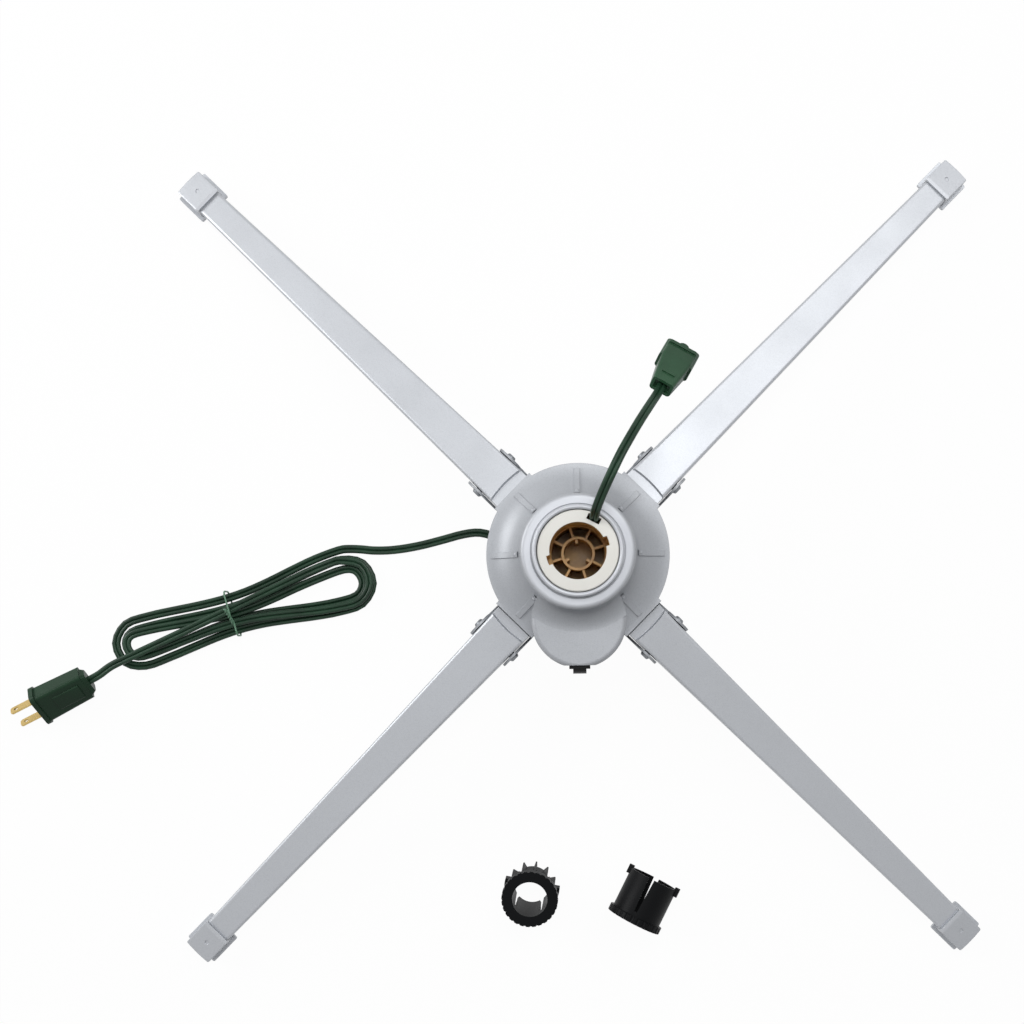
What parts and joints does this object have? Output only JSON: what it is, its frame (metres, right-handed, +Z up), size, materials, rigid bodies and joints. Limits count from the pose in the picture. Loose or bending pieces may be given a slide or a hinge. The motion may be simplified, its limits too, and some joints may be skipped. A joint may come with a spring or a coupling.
{
  "type": "rotating christmas tree stand",
  "caption": "Rotating tree stand: motor-driven pole socket in a flared hub, folding channel legs with foot caps, riding outlet lead, loose pole adapters and a power cord tied in a hank.",
  "frame": {"origin": "on the floor under the turning axis, midway between the feet", "axes": "+Z up along the turning axis, the motor lobe and its switch towards -Y, the legs on the diagonals"},
  "size_m": [0.6849, 0.5656, 0.1668],
  "materials": {
    "cover_grey": "satin grey moulding",
    "plate_dark": "dark paint",
    "bracket_steel": "zinc plated",
    "pin_steel": "bright",
    "leg_steel": "satin silver paint",
    "cap_grey": "light grey",
    "disc_ivory": "ivory",
    "socket_tan": "tan",
    "gear_white": "natural acetal",
    "contact_brass": "bright brass",
    "motor_can": "plain can",
    "black_plastic": "black",
    "black_gloss": "glossy black",
    "black_rubber": "black",
    "cord_green": "dark green vinyl",
    "plug_green": "dark green moulding",
    "tie_green": "green coated wire",
    "adapter_black": "black moulding"
  },
  "bodies": {
    "base": {"hub_cover": "cover_grey", "base_plate": "plate_dark", "leg_brackets": "bracket_steel", "leg_pivot_pins": "pin_steel", "cover_screws": "pin_steel", "lower_race": "pin_steel", "upper_bushing": "gear_white", "gear_motor": "motor_can", "motor_screws": "pin_steel", "brush_block": "black_plastic", "brush_contacts": "contact_brass", "switch_bezel": "black_plastic", "strain_relief": "black_rubber", "power_cord": "cord_green", "cord_hank": "cord_green", "cord_tail": "cord_green", "twist_tie": "tie_green", "plug_body": "plug_green", "plug_blades": "contact_brass", "adapter_small": "adapter_black", "adapter_large": "adapter_black"},
    "rotor": {"turntable_disc": "disc_ivory", "pole_socket": "socket_tan", "turntable_gear": "gear_white", "slip_rings": "contact_brass", "upper_race": "pin_steel", "outlet_lead": "cord_green", "outlet_connector": "plug_green"},
    "cage": {"ball_cage": "gear_white", "bearing_balls": "pin_steel"},
    "pinion": {"motor_shaft": "pin_steel", "drive_pinion": "gear_white"},
    "rocker": {"switch_rocker": "black_gloss"},
    "leg1": {"leg_1": "leg_steel", "foot_cap_1": "cap_grey"},
    "leg2": {"leg_2": "leg_steel", "foot_cap_2": "cap_grey"},
    "leg3": {"leg_3": "leg_steel", "foot_cap_3": "cap_grey"},
    "leg4": {"leg_4": "leg_steel", "foot_cap_4": "cap_grey"}
  },
  "joints": [
    {"name": "rotor_spin", "type": "hinge", "parent": "base", "child": "rotor", "pos_m": [0, 0, 0.1], "axis": [0, 0, 1], "continuous": true},
    {"name": "cage_spin", "type": "hinge", "parent": "base", "child": "cage", "pos_m": [0, 0, 0.05865], "axis": [0, 0, 1], "continuous": true},
    {"name": "pinion_spin", "type": "hinge", "parent": "base", "child": "pinion", "pos_m": [0, -0.0435, 0.09], "axis": [0, 0, 1], "continuous": true},
    {"name": "rocker_tip", "type": "hinge", "parent": "base", "child": "rocker", "pos_m": [0, -0.0693, 0.096], "axis": [1, 0, 0], "range_deg": [-10, 10]},
    {"name": "leg_fold_1", "type": "hinge", "parent": "base", "child": "leg1", "pos_m": [0.05572, 0.05572, 0.0635], "axis": [-0.7071, 0.7071, 0], "range_deg": [0, 90]},
    {"name": "leg_fold_2", "type": "hinge", "parent": "base", "child": "leg2", "pos_m": [-0.05572, 0.05572, 0.0635], "axis": [-0.7071, -0.7071, 0], "range_deg": [0, 90]},
    {"name": "leg_fold_3", "type": "hinge", "parent": "base", "child": "leg3", "pos_m": [-0.05572, -0.05572, 0.0635], "axis": [0.7071, -0.7071, 0], "range_deg": [0, 90]},
    {"name": "leg_fold_4", "type": "hinge", "parent": "base", "child": "leg4", "pos_m": [0.05572, -0.05572, 0.0635], "axis": [0.7071, 0.7071, 0], "range_deg": [0, 90]}
  ],
  "couplings": [
    {"joint": "pinion_spin", "follows": "rotor_spin", "ratio": -2.9545},
    {"joint": "cage_spin", "follows": "rotor_spin", "ratio": 0.5}
  ]
}
